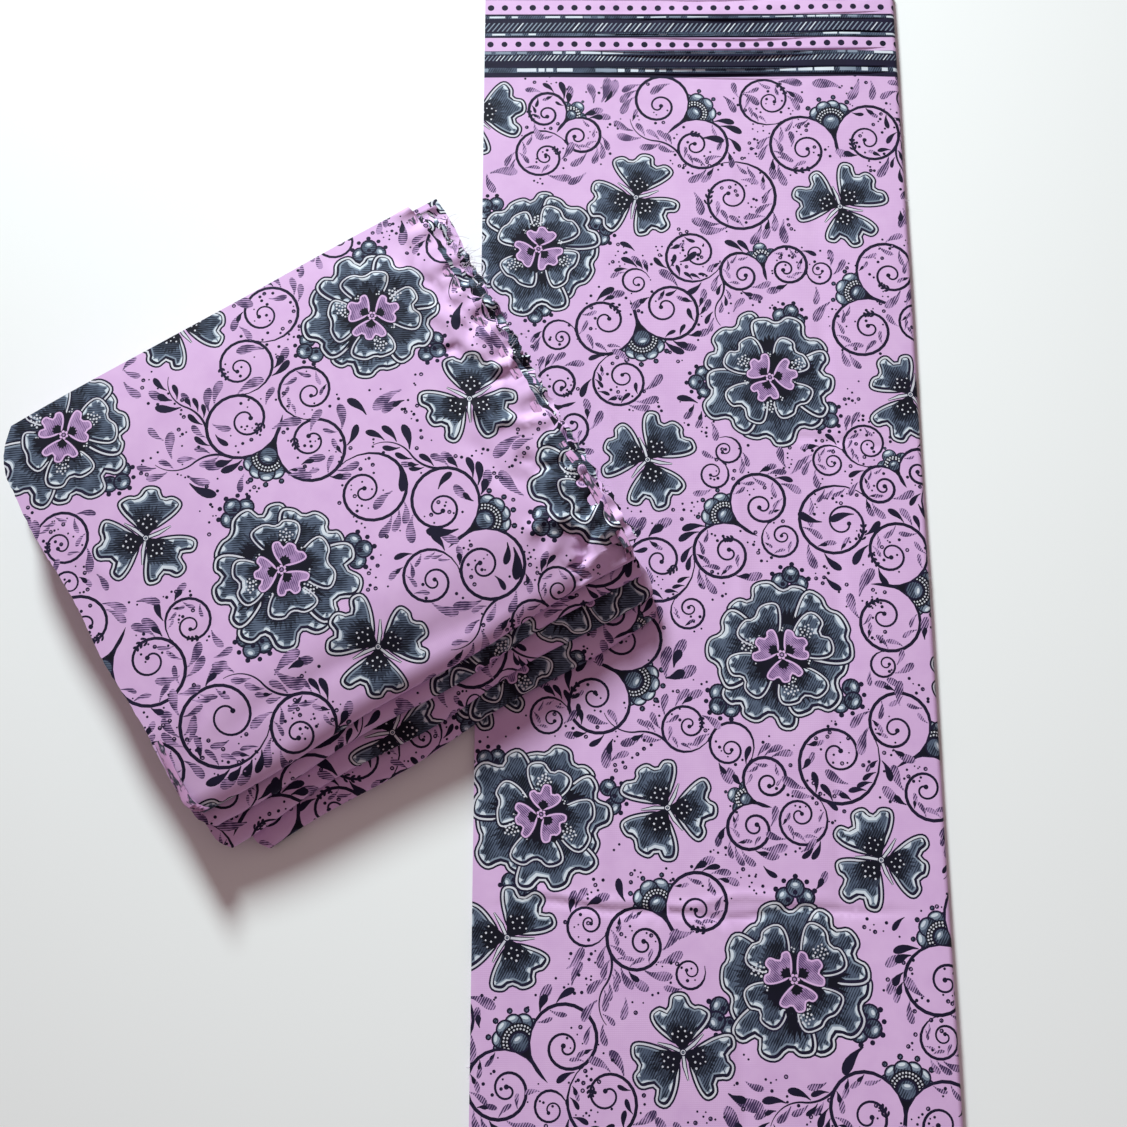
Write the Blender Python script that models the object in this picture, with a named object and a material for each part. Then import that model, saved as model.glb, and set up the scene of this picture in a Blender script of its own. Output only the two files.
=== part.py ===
"""Printed cotton cloth: a folded bundle that lies across a laid-out length of the same cloth.

Metres, +Z up. +Y runs along the laid-out length, from selvedge to selvedge, and +X across it.
The origin is the middle of the laid-out length's underside. Every fold is one outer ply, bent
round a rounded edge, with its hidden plies inside as one solid that is layered at its cut edges.
"""

import math
from collections import namedtuple

import bmesh
import bpy

# Cloth, and the air between neighbouring plies and between stacked folds
CLOTH_WALL = 0.0014
PLY_GAP = 0.0004
FOLD_GAP = 0.0006

# Laid-out length: the cloth's whole width, folded to a flat band
CLOTH_WIDTH = 1.168
BAND_WIDTH = 0.400
BAND_THICK = 0.0060

# Bundle: its middle on the table, and the turn of its long side from +X
BUNDLE_X = -0.353
BUNDLE_Y = 0.067
BUNDLE_TURN = math.radians(31.0)
BUNDLE_LENGTH = 0.430
BUNDLE_DEPTH = 0.430
# Towards each edge the soft bundle loses this share of its height, most of it past the second line
DROOP = 0.10
DROOP_STARTS = 0.108
DROOP_STEEPENS = 0.162
DROOP_ENDS = 0.215
DROOP_EARLY_SHARE = 0.3

# The bundle bends up from the table on to the band over this run
RAMP_RUN = 0.220
RAMP_CLEAR = 0.004

# Grid lines that all layers share, so that stacked layers bend alike
GRID_STEP = 0.054
GRID_CLEAR = 0.020

# Where a rounded edge has its points, in degrees from its nose
EDGE_TURN = (60, 30)

# The hidden plies show as ridges this deep and about this far apart
PLY_RIDGE = 0.0016
PLY_PITCH = 0.0036

# Waves of a fold's rounded edge and of its cut ends, and how far from the back edge a corner starts
EDGE_WAVE_LENGTH = 0.19
END_WAVE_LENGTH = 0.13
CORNER_RUN = 0.045

# One row a fold. thick and reach are the height and the roundness of its rounded edge; the ends
# and the cut back edge are where they cross the middle line, and a skew is their slope in plan.
# corner is how far the left end gives way where it meets the back edge, as on a rounded corner.
Fold = namedtuple(
    "Fold",
    "name thick reach left left_skew right right_skew back back_skew front edge_wave end_wave"
    " corner tint",
)
LAID_LENGTH = Fold(
    "laid_length", BAND_THICK, 0.0045, -CLOTH_WIDTH / 2, 0.0, CLOTH_WIDTH / 2, 0.0,
    -BAND_WIDTH / 2, 0.0, BAND_WIDTH / 2, 0.0, 0.0, 0.0, (0.62, 0.33, 0.60),
)
# From the table upwards
BUNDLE_FOLDS = (
    Fold("bundle_bottom_fold", 0.0105, 0.0075, -0.190, 0.03, 0.214, 0.00,
         -0.166, 0.04, 0.257, 0.0020, 0.0020, 0.010, (0.50, 0.22, 0.42)),
    Fold("bundle_third_fold", 0.0115, 0.0085, -0.216, 0.02, 0.222, -0.02,
         -0.1785, 0.05, 0.238, 0.0028, 0.0022, 0.028, (0.54, 0.25, 0.47)),
    Fold("bundle_second_fold", 0.0120, 0.0090, -0.214, 0.01, 0.228, -0.05,
         -0.177, 0.00, 0.219, 0.0022, 0.0022, 0.026, (0.58, 0.28, 0.52)),
    Fold("bundle_top_fold", 0.0185, 0.0170, -0.2145, 0.015, 0.214, 0.03,
         -0.173, 0.00, 0.207, 0.0015, 0.0014, 0.026, (0.64, 0.35, 0.62)),
)

# Soft swellings of the laid-out length, where its folded edge stands off the table
Swell = namedtuple("Swell", "x y half_x half_y rise")
SWELLS = (
    Swell(0.145, 0.520, 0.060, 0.110, 0.0040),
    Swell(0.170, 0.270, 0.050, 0.120, 0.0024),
    Swell(0.155, -0.050, 0.055, 0.130, 0.0030),
    Swell(0.175, -0.400, 0.050, 0.140, 0.0028),
    Swell(-0.125, 0.520, 0.080, 0.090, 0.0014),
    Swell(-0.060, -0.380, 0.090, 0.110, 0.0016),
)
# Under the bundle the swellings are pressed flat, and this far from it they stand free
PRESSED = 0.045
FREE = 0.120


def smooth(share):
    """0 to 1 with level ends."""
    share = min(1.0, max(0.0, share))
    return share * share * (3.0 - 2.0 * share)


def from_bundle(x, y):
    """Distance in plan from the bundle's footprint, 0 inside it."""
    east, north = x - BUNDLE_X, y - BUNDLE_Y
    along = east * math.cos(BUNDLE_TURN) + north * math.sin(BUNDLE_TURN)
    across = east * math.sin(BUNDLE_TURN) - north * math.cos(BUNDLE_TURN)
    past_end = max(0.0, abs(along) - BUNDLE_LENGTH / 2)
    past_side = max(0.0, abs(across) - BUNDLE_DEPTH / 2)
    return math.hypot(past_end, past_side)


def lay_band(along, across, height):
    """A point of the laid-out length, with its swellings."""
    x, y = across, along
    rise = sum(
        s.rise * math.exp(-(((x - s.x) / s.half_x) ** 2) - ((y - s.y) / s.half_y) ** 2)
        for s in SWELLS
    )
    rise *= smooth((from_bundle(x, y) - PRESSED) / (FREE - PRESSED))
    return x, y, height * (1.0 + rise / BAND_THICK)


def droop(out):
    """Share of height lost this far from the bundle's middle, in straight runs between grid lines."""
    early = min(max(0.0, out - DROOP_STARTS) / (DROOP_STEEPENS - DROOP_STARTS), 1.0)
    late = max(0.0, out - DROOP_STEEPENS) / (DROOP_ENDS - DROOP_STEEPENS)
    return DROOP * (DROOP_EARLY_SHARE * early + (1.0 - DROOP_EARLY_SHARE) * late)


def lay_bundle(along, across, height):
    """A point of the bundle, which droops towards its edges and rides up on the band."""
    x = BUNDLE_X + along * math.cos(BUNDLE_TURN) + across * math.sin(BUNDLE_TURN)
    y = BUNDLE_Y + along * math.sin(BUNDLE_TURN) - across * math.cos(BUNDLE_TURN)
    ramp_end = -BAND_WIDTH / 2 - RAMP_CLEAR
    ride = (BAND_THICK + FOLD_GAP) * smooth((x - ramp_end + RAMP_RUN) / RAMP_RUN)
    return x, y, height * (1.0 - droop(abs(along)) - droop(abs(across))) + ride


def grid_lines(low, high):
    """Shared grid lines that lie inside a range."""
    first = math.ceil((low + GRID_CLEAR) / GRID_STEP)
    last = math.floor((high - GRID_CLEAR) / GRID_STEP)
    return [k * GRID_STEP for k in range(first, last + 1)]


def grid_of(fold):
    """The shared grid lines within a fold, along it and across it."""
    return grid_lines(fold.left, fold.right), grid_lines(fold.back, fold.front - fold.reach)


def place(fold, station, across, height, lay):
    """One point of a fold in world space. station is a grid line, or the name of an end."""
    end_wave = fold.end_wave * math.sin(2 * math.pi * across / END_WAVE_LENGTH + 40 * fold.front)
    if station == "left":
        near = max(0.0, 1.0 - (across - fold.back) / CORNER_RUN)
        along = fold.left + fold.left_skew * across + end_wave + fold.corner * near ** 2
    elif station == "right":
        along = fold.right + fold.right_skew * across + end_wave
    else:
        along = station
    edge_wave = fold.edge_wave * math.sin(
        2 * math.pi * along / EDGE_WAVE_LENGTH + 60 * fold.front
    )
    depth = (across - fold.back) / (fold.front - fold.back)
    return lay(along, across + edge_wave * depth ** 3, height)


def half_rows(fold, grid, floor, inset, angles, share, lay):
    """Rows of points from a fold's back edge to its rounded edge, one row a station.

    share is the height within the section: 1 on its upper face, 0 in its middle, -1 below.
    """
    middle, half = floor + fold.thick / 2, fold.thick / 2 - inset
    turn_at = fold.front - fold.reach
    rows = []
    for station in ["left", *grid[0], "right"]:
        flat = station if isinstance(station, float) else getattr(fold, station)
        run = [fold.back + fold.back_skew * flat, *grid[1], turn_at]
        path = [(across, half) for across in run]
        for angle in map(math.radians, angles):
            path.append((turn_at + (fold.reach - inset) * math.cos(angle), half * math.sin(angle)))
        rows.append([place(fold, station, v, middle + share * z, lay) for v, z in path])
    return rows


def around(rows):
    """The outermost points of a surface given as rows, in order."""
    tips = [row[-1] for row in rows[1:-1]]
    backs = [row[0] for row in rows[1:-1]]
    return rows[0] + tips + rows[-1][::-1] + backs[::-1]


def lean(p, q):
    """How far a line in plan runs along one slanting direction.

    Each four-cornered facet is split along its diagonal with more of it, so that stacked layers
    are split alike and keep their gap.
    """
    return abs(0.6 * (p.co.x - q.co.x) + 0.8 * (p.co.y - q.co.y))


def closed_loft(name, upper, lower, tint, between=()):
    """One closed solid between two surfaces, joined round their edges by way of the loops between."""
    mesh = bmesh.new()

    def panel(a, b):
        for k in range(len(a) - 1):
            if lean(a[k], b[k + 1]) > lean(a[k + 1], b[k]):
                mesh.faces.new((a[k], a[k + 1], b[k + 1]))
                mesh.faces.new((a[k], b[k + 1], b[k]))
            else:
                mesh.faces.new((a[k], a[k + 1], b[k]))
                mesh.faces.new((a[k + 1], b[k + 1], b[k]))

    faces = [[[mesh.verts.new(p) for p in row] for row in side] for side in (upper, lower)]
    loops = [[mesh.verts.new(p) for p in loop] for loop in between]
    for side in faces:
        for a, b in zip(side, side[1:]):
            panel(a, b)
    chain = [around(faces[0]), *loops, around(faces[1])]
    for a, b in zip(chain, chain[1:]):
        panel([*a, a[0]], [*b, b[0]])
    bmesh.ops.recalc_face_normals(mesh, faces=mesh.faces)
    data = bpy.data.meshes.new(name)
    mesh.to_mesh(data)
    mesh.free()
    data.shade_smooth()
    data.set_sharp_from_angle(angle=math.radians(50))
    data.materials.append(cotton(name, tint))
    solid = bpy.data.objects.new(name, data)
    bpy.context.scene.collection.objects.link(solid)


def cotton(name, tint):
    """Plain printed cotton: matt, with a faint sheen from its finish."""
    material = bpy.data.materials.new(name)
    material.use_nodes = True
    shader = material.node_tree.nodes["Principled BSDF"]
    shader.inputs["Base Color"].default_value = (*tint, 1.0)
    shader.inputs["Roughness"].default_value = 0.8
    shader.inputs["Metallic"].default_value = 0.0
    shader.inputs["Sheen Weight"].default_value = 0.2
    return material


def outer_ply(fold, floor, lay):
    """The ply that shows: over the fold, round its rounded edge and back underneath."""
    grid = grid_of(fold)
    surfaces = []
    for inset in (0.0, CLOTH_WALL):
        over = half_rows(fold, grid, floor, inset, (*EDGE_TURN, 0), 1.0, lay)
        under = half_rows(fold, grid, floor, inset, EDGE_TURN, -1.0, lay)
        surfaces.append([up + down[::-1] for up, down in zip(over, under)])
    closed_loft(f"{fold.name}_outer_ply", *surfaces, fold.tint)


def inner_plies(fold, floor, lay):
    """The hidden plies as one solid, with ridges along its cut edges for the plies' own edges."""
    grid = grid_of(fold)
    inset = CLOTH_WALL + PLY_GAP
    shown = fold._replace(left=fold.left + 0.003, right=fold.right - 0.002)
    sunk = shown._replace(
        left=shown.left + PLY_RIDGE, right=shown.right - PLY_RIDGE, back=shown.back + PLY_RIDGE
    )
    ridges = max(1, round((fold.thick - 2 * inset) / PLY_PITCH))
    loops = []
    for k in range(1, 2 * ridges):
        edge = sunk if k % 2 else shown
        share = 1.0 - k / ridges
        loops.append(around(half_rows(edge, grid, floor, inset, EDGE_TURN, share, lay)))
    closed_loft(
        f"{fold.name}_inner_plies",
        half_rows(shown, grid, floor, inset, EDGE_TURN, 1.0, lay),
        half_rows(shown, grid, floor, inset, EDGE_TURN, -1.0, lay),
        tuple(0.9 * c for c in fold.tint),
        loops,
    )


for old in list(bpy.data.objects):
    bpy.data.objects.remove(old)

outer_ply(LAID_LENGTH, 0.0, lay_band)
inner_plies(LAID_LENGTH, 0.0, lay_band)
level = 0.0
for one in BUNDLE_FOLDS:
    outer_ply(one, level, lay_bundle)
    inner_plies(one, level, lay_bundle)
    level += one.thick + FOLD_GAP
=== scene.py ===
import cmath
import math
import random
from collections import namedtuple

import bpy
import numpy as np
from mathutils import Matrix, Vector
from mathutils.bvhtree import BVHTree
from mathutils.geometry import delaunay_2d_cdt


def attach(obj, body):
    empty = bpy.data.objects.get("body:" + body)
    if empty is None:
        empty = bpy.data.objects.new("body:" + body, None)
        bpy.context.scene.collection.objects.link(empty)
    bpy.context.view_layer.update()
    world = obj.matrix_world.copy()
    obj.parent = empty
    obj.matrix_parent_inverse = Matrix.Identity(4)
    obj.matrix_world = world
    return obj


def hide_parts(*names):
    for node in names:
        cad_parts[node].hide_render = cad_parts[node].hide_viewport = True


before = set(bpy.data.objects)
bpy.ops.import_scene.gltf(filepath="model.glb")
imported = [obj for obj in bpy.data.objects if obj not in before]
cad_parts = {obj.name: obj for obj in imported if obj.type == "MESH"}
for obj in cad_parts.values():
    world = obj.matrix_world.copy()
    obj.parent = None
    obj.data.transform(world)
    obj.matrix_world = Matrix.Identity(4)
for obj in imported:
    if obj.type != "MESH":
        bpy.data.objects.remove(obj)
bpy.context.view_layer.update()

MM = 0.001

# The form of the cloth, as the solids have it, in metres
CLOTH_WIDTH = 1.168
BAND_WIDTH = 0.400
BAND_THICK = 0.0060
FOLD_GAP = 0.0006
BUNDLE_X, BUNDLE_Y = -0.353, 0.067
BUNDLE_TURN = math.radians(31.0)
BUNDLE_LENGTH, BUNDLE_DEPTH = 0.430, 0.430
DROOP = 0.10
DROOP_STARTS, DROOP_ENDS = 0.100, 0.215
RAMP_RUN, RAMP_CLEAR = 0.220, 0.004
EDGE_WAVE_LENGTH, END_WAVE_LENGTH = 0.19, 0.13
CORNER_RUN = 0.045
PRESSED, FREE = 0.045, 0.120

Fold = namedtuple(
    "Fold",
    "name thick reach left left_skew right right_skew back back_skew front edge_wave end_wave corner",
)
LAID_LENGTH = Fold("laid_length", BAND_THICK, 0.0045, -CLOTH_WIDTH / 2, 0.0, CLOTH_WIDTH / 2, 0.0,
                   -BAND_WIDTH / 2, 0.0, BAND_WIDTH / 2, 0.0, 0.0, 0.0)
# From the table upwards
BUNDLE_FOLDS = (
    Fold("bundle_bottom_fold", 0.0105, 0.0075, -0.190, 0.03, 0.214, 0.00,
         -0.166, 0.04, 0.257, 0.0020, 0.0020, 0.010),
    Fold("bundle_third_fold", 0.0115, 0.0085, -0.216, 0.02, 0.222, -0.02,
         -0.1785, 0.05, 0.238, 0.0028, 0.0022, 0.028),
    Fold("bundle_second_fold", 0.0120, 0.0090, -0.214, 0.01, 0.228, -0.05,
         -0.177, 0.00, 0.219, 0.0022, 0.0022, 0.026),
    Fold("bundle_top_fold", 0.0185, 0.0170, -0.2145, 0.015, 0.214, 0.03,
         -0.173, 0.00, 0.207, 0.0015, 0.0014, 0.026),
)
TOP_FOLD = BUNDLE_FOLDS[-1]

Swell = namedtuple("Swell", "x y half_x half_y rise")
SWELLS = (
    Swell(0.145, 0.520, 0.060, 0.110, 0.0040),
    Swell(0.170, 0.270, 0.050, 0.120, 0.0024),
    Swell(0.155, -0.050, 0.055, 0.130, 0.0030),
    Swell(0.175, -0.400, 0.050, 0.140, 0.0028),
    Swell(-0.125, 0.520, 0.080, 0.090, 0.0014),
    Swell(-0.060, -0.380, 0.090, 0.110, 0.0016),
)

# The printed pattern, drawn flat in millimetres on a complex plane

GROUND, NAVY, SLATE, GREY, SHINE, PALE, MAUVE, ROSE, GAP, DEEP = range(10)
PRINT_WIDTH, PRINT_SEED = 900, 11
BORDER = 100.0
# Marks on the cloth: kept clear of scrolls, and printed
CLEAR, PRINTED = 1, 2
# How far from its line a scroll marks the cloth as printed, and as clear, in millimetres
LINE_ROOM, SCROLL_ROOM = 3.0, 7.4


def smooth(share):
    """0 to 1 with level ends."""
    share = min(1.0, max(0.0, share))
    return share * share * (3.0 - 2.0 * share)


def aim(degrees, reach=1.0):
    """A way, or a step of this reach."""
    return cmath.rect(reach, math.radians(degrees))


def unit(step):
    """The direction of a step."""
    return step / max(abs(step), 1e-9)


def signed_area(points):
    return sum((a.conjugate() * b).imag for a, b in zip(points, points[1:] + points[:1])) / 2


def disc(centre, radius, sides):
    return [centre + cmath.rect(radius, 2 * math.pi * k / sides) for k in range(sides)]


def oval(centre, half_long, half_wide, turn, sides):
    return [centre + turn * complex(p.real * half_long, p.imag * half_wide) for p in disc(0, 1.0, sides)]


def inset(points, distance, heavy=0j):
    """The same outline, this far further in, with no loops where it is narrow.

    heavy is a direction in which it moves further, and less on the other side.
    """
    before, after, moved = points[-1:] + points[:-1], points[1:] + points[:1], []
    for a, p, b in zip(before, points, after):
        if min(abs(p - a), abs(b - p)) >= 1e-9:
            normal = 1j * (unit(p - a) + unit(b - p))
            size = max(abs(normal), 0.3)
            weight = 1.0 - (normal.conjugate() * heavy).real / size
            p += normal / size * distance * weight * min(1.6, 2.0 / size)
        moved.append(p)
    runs = zip(before, after, moved[-1:] + moved[:-1], moved[1:] + moved[:1], moved)
    kept = [p for a, b, c, d, p in runs if ((b - a).conjugate() * (d - c)).real > 0]
    return kept if len(kept) > 3 and signed_area(kept) > 0 else []


class Artwork:
    """The print's shapes, in the order of printing, and a map of the cloth that they take."""

    cell, margin = 1.5, 60.0

    def __init__(self, width, height, border, seed):
        self.width, self.height, self.border = width, height, border
        self.shapes = []
        self.dice = random.Random(seed)
        rows, columns = int(height / self.cell) + 2, int((width + 2 * self.margin) / self.cell) + 2
        self.taken = np.zeros((rows, columns), np.int8)
        self.row_at, self.column_at = np.mgrid[0:rows, 0:columns]
        edge = int((border + 1.5) / self.cell)
        self.taken[:edge] = self.taken[-edge:] = PRINTED

    def fill(self, ink, points):
        if len(points) > 2:
            self.shapes.append((ink, points if signed_area(points) > 0 else points[::-1]))

    def dot(self, ink, centre, radius, sides=12):
        self.fill(ink, disc(centre, radius, sides))

    def take(self, points, reach, level=PRINTED):
        """Marks the cloth round these points."""
        rows, columns = self.taken.shape
        for p in points:
            x, y, r = (p.real + self.margin) / self.cell, p.imag / self.cell, reach / self.cell
            x0, x1 = max(0, int(x - r)), min(columns, int(x + r) + 2)
            y0, y1 = max(0, int(y - r)), min(rows, int(y + r) + 2)
            if x0 < x1 and y0 < y1:
                spot = np.s_[y0:y1, x0:x1]
                near = (self.column_at[spot] - x) ** 2 + (self.row_at[spot] - y) ** 2 <= r * r
                self.taken[spot][near] = np.maximum(self.taken[spot][near], level)

    def is_free(self, points, most=0):
        """True if none of the points is off the cloth or on a place marked higher than that."""
        rows, columns = self.taken.shape
        for p in points:
            column, row = int((p.real + self.margin) / self.cell), int(p.imag / self.cell)
            if not (0 <= column < columns and 0 <= row < rows) or self.taken[row, column] > most:
                return False
        return True

    def anywhere(self, past, edge):
        """A random place, up to this far past the sides and at least this far from the borders."""
        x = self.dice.uniform(-past, self.width + past)
        return complex(x, self.dice.uniform(self.border + edge, self.height - self.border - edge))


def stroke(art, ink, path, widths):
    """A line of changing width, in short pieces so that it may wind over itself."""
    left, right = [], []
    for k, p in enumerate(path):
        along = path[min(k + 1, len(path) - 1)] - path[max(k - 1, 0)]
        side = 1j * unit(along) * max(widths[k], 0.12) / 2
        left.append(p + side)
        right.append(p - side)
    run = 9
    for k in range(0, len(path) - 1, run):
        art.fill(ink, right[k:k + run + 1] + left[k:k + run + 1][::-1])


def leaf(art, ink, root, way, length, wide, bend):
    """A comma leaf: thin and bent at its root, with a round end."""
    left, right = [], []
    for k in range(8):
        t = 1 - (1 - k / 7) ** 1.7
        spine = root + way * length * complex(t, bend * t * t)
        side = 1j * unit(way * complex(1.0, 2 * bend * t))
        half = wide / 2 * (0.12 + 0.88 * smooth(t / 0.75))
        half = max(half * math.sqrt(max(0.0, 1 - max(0.0, (t - 0.72) / 0.28) ** 2)), 0.08)
        left.append(spine + side * half)
        right.append(spine - side * half)
    art.fill(ink, right + left[::-1])


def rounded(points, least):
    """The closed outline with its corners cut round, its points at least this far apart."""
    for _ in range(3):
        pairs = list(zip(points, points[1:] + points[:1]))
        points = [a * (1 - share) + b * share for a, b in pairs for share in (0.25, 0.75)]
    kept = points[:1]
    for p in points[1:]:
        if abs(p - kept[-1]) > least:
            kept.append(p)
    return kept


def petal(art, root, way, length, half_angle, lobes, depth, least=2.2):
    """The outline of a petal that fans out from its root and ends in soft, uneven lobes."""
    dice, share = art.dice, 2.0 * half_angle / lobes

    def corner(reach, angle):
        return root + way * aim(angle, reach)

    corners = [root + way * length * 0.04, corner(length * 0.62, -half_angle)]
    for k in range(lobes):
        middle = -half_angle + share * (k + 0.5) + dice.uniform(-0.08, 0.08) * share
        far = length * dice.uniform(0.95, 1.10) * (1.0 - 0.10 * (abs(middle) / half_angle) ** 2)
        if k:
            corners.append(corner(length * (1 - depth * dice.uniform(0.7, 1.3)), -half_angle + share * k))
        corners += [corner(far, middle + side * share) for side in (-0.27, 0.27)]
    return rounded(corners + [corner(length * 0.62, half_angle)], least)


def streaks(art, ink, root, way, length, half_angle, teeth):
    """A zone round a petal's root, with a streaky far edge."""
    points = [root]
    for k in range(2 * teeth + 1):
        q = k / teeth - 1
        reach = art.dice.uniform(0.78, 0.90) if k % 2 else art.dice.uniform(0.94, 1.06)
        points.append(root + way * aim(half_angle * q, length * reach * (1 - 0.25 * q * q)))
    art.fill(ink, points)


# The side on which the printed contours are heavier, as if a shadow lay there
HEAVY_SIDE = aim(-60, 0.55)


def contoured(art, outline, line, pale, inner_line, bloom):
    """Dark, pale and dark resist lines, a lighter bloom and a hatched body; gives the inner outline."""
    for ink, step, heavy in ((NAVY, line, 0j), (PALE, pale, 0j), (NAVY, inner_line, HEAVY_SIDE)):
        art.fill(ink, outline)
        outline = inset(outline, step, heavy)
        if not outline:
            return []
    art.fill(GREY, outline)
    art.fill(SLATE, inset(outline, bloom))
    return outline


def rim_shine(art, outline, thick):
    """Long light spots along the inside of a petal's rim, where the resist wore away."""
    dice, count = art.dice, len(outline)
    at = count * 0.16
    while at < count * 0.84:
        step = abs(outline[(int(at) + 1) % count] - outline[int(at) % count])
        run = dice.uniform(4.5, 8.0) / max(1.0, step)
        spots = [at + run * k / 6 for k in range(7)]
        if spots[-1] > count - 1:
            break
        pairs = [(outline[int(s)], outline[int(s) + 1 - count], s % 1.0) for s in spots]
        stretch = [a + (b - a) * share for a, b, share in pairs]
        bulk = thick * dice.uniform(0.6, 1.2)
        for ink, share in ((GREY, 1.6), (SHINE, 1.0)):
            inner = list(stretch[1:6])
            for k in range(1, 6):
                out = 1j * unit(stretch[k + 1] - stretch[k - 1])
                inner[k - 1] += out * bulk * share * math.sin(math.pi * k / 6) ** 0.6
            art.fill(ink, stretch + inner[::-1])
        at += run * dice.uniform(1.2, 2.4)


def dot_heap(art, centre, radius, dot, count):
    """Pale dots packed in a little heap."""
    for k in range(count):
        place = centre + cmath.rect(radius * math.sqrt((k + 0.5) / count), 2.39996 * k)
        art.dot(PALE, place, dot * art.dice.uniform(0.8, 1.15), 6)


def bead(art, centre, out, size, rims, spots):
    """A shaded bead, in shares of a size: rims as radius and sides, spots as reach, half sizes and sides."""
    for ink, (radius, sides) in zip((NAVY, SLATE), rims):
        art.dot(ink, centre, size * radius, sides)
    for ink, (reach, half_long, half_wide, sides) in zip((GREY, SHINE), spots):
        art.fill(ink, oval(centre + out * size * reach, size * half_long, size * half_wide, out * 1j, sides))


# Two beads, each as its rims and its spots
BUD_BEAD = ((0.46, 16), (0.37, 14)), ((0.12, 0.22, 0.15, 10), (0.16, 0.13, 0.08, 8))
FAN_HEART = ((0.35, 16), (0.29, 14)), ((0.10, 0.18, 0.10, 10), (0.13, 0.11, 0.05, 8))


def bud(art, root, way, size):
    """Three small scallops with beads at their tips, at the rim of a rosette."""
    for angle in (-52, 52, 0):
        out = way * aim(angle)
        centre = root + out * size * (0.80 if angle == 0 else 0.62)
        art.dot(NAVY, centre + out * size * 0.52, size * 0.13, 8)
        bead(art, centre, out, size, *BUD_BEAD)
        art.dot(NAVY, centre - out * size * 0.2, size * 0.12, 8)
    for angle in (-26, 26):
        art.dot(NAVY, root + way * aim(angle) * size * 1.22, size * 0.12, 8)


def rosette(art, centre, radius, turn):
    """A large layered flower: broad outer petals, dark gaps, four inner petals and a small flower."""
    dice = art.dice

    def way_near(angle):
        return turn * aim(angle + dice.uniform(-8, 8))

    for angle in (38, 158, 272):
        way = way_near(angle)
        bud(art, centre + way * radius * 0.88, way, radius * 0.27)
        art.take([centre + way * radius * 1.08], radius * 0.23)
    first = dice.uniform(-10, 10)
    petals = [(first + angle, span, radius * dice.uniform(0.94, 1.06))
              for angle, span in ((0, 47), (70, 44), (143, 49), (215, 45), (288, 47))]
    dice.shuffle(petals)
    art.dot(NAVY, centre, radius * 0.6, 20)
    for angle, span, length in petals:
        way = turn * aim(angle)
        rim = contoured(art, petal(art, centre, way, length, span, 3, 0.16), 1.6, 1.6, 1.8, 1.5)
        streaks(art, DEEP, centre, way, length * 0.76, span * 0.70, 13)
        rim_shine(art, rim, radius * 0.044)
    for angle, _, _ in petals:
        side = dice.choice((-1, 1)) * 24
        streaks(art, GAP, centre, turn * aim(angle + side), radius * dice.uniform(0.62, 0.76), 17, 6)
    art.dot(DEEP, centre, radius * 0.42, 20)
    for angle in (40, 128, 220, 312):
        way = way_near(angle)
        root, length = centre + way * radius * 0.04, radius * dice.uniform(0.64, 0.72)
        rim = contoured(art, petal(art, root, way, length, 45, 2, 0.17), 1.3, 1.3, 1.5, 1.3)
        streaks(art, DEEP, root, way, length * 0.74, 33, 9)
        rim_shine(art, rim, radius * 0.036)
    streaks(art, GAP, centre, turn * aim(80), radius * 0.44, 175, 26)
    for angle in (-10, 109, 229):
        dot_heap(art, centre + turn * aim(angle) * radius * 0.46, radius * 0.10, 1.0, 14)
    for k in range(7):
        dot_heap(art, centre + turn * aim(51 * k + 20) * radius * 0.36, radius * 0.035, 0.8, 3)
    for angle in (100, 215, 335):
        way = way_near(angle)
        outline = petal(art, centre, way, radius * 0.40, 54, 3, 0.24, 1.4)
        for ink, step in ((NAVY, 0.9), (GROUND, 1.5), (ROSE, 0.0)):
            art.fill(ink, outline)
            outline = inset(outline, step)
        streaks(art, GAP, centre + way * radius * 0.05, way, radius * 0.15, 46, 5)
    for k in range(6):
        art.dot(GROUND, centre + turn * aim(60 * k) * radius * 0.045, radius * 0.022, 8)
    art.dot(NAVY, centre, radius * 0.035, 10)
    art.dot(ROSE, centre, radius * 0.020, 8)
    rings = [aim(a) * radius * r for r in (0, 0.35, 0.72) for a in range(0, 360, 24)]
    art.take([centre + p for p in rings], radius * 0.38)


# Dots in a clover petal's throat: how far out, as a share of its length, and degrees aside
THROAT_DOTS = (0.20, 0), (0.28, -16), (0.28, 16), (0.37, -28), (0.37, -10), (0.37, 9), (0.37, 27), (0.44, 0)


def clover(art, centre, radius, turn):
    """Three broad petals with a pale rim, and a dotted dark throat."""
    dice = art.dice
    for angle in (90, 212, 330):
        way = turn * aim(angle + dice.uniform(-5, 5))
        length = radius * dice.uniform(0.96, 1.06)
        rim = contoured(art, petal(art, centre, way, length, 51, 3, 0.23), 1.6, 1.6, 1.7, 1.3)
        rim_shine(art, rim, radius * 0.058)
        streaks(art, DEEP, centre, way, length * 0.66, 40, 12)
        streaks(art, GAP, centre, way, length * 0.48, 40, 9)
        for out, aside in THROAT_DOTS:
            art.dot(PALE, centre + way * aim(aside) * length * out, dice.uniform(0.7, 1.05), 6)
    for angle in (151, 271, 31):
        way = turn * aim(angle)
        vein = [centre, centre + way * radius * 0.25, centre + way * aim(4) * radius * 0.50]
        for ink, extra in ((NAVY, 2.0), (PALE, 0.0)):
            stroke(art, ink, vein, [1.6 + extra, 2.2 + extra, 0.6 + extra / 2])
    for ink, size in ((NAVY, 3.0), (PALE, 2.1), (NAVY, 1.3), (GREY, 0.6)):
        art.dot(ink, centre, size)
    art.take([centre] + [centre + aim(a) * radius * 0.6 for a in range(0, 360, 30)], radius * 0.48)


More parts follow.
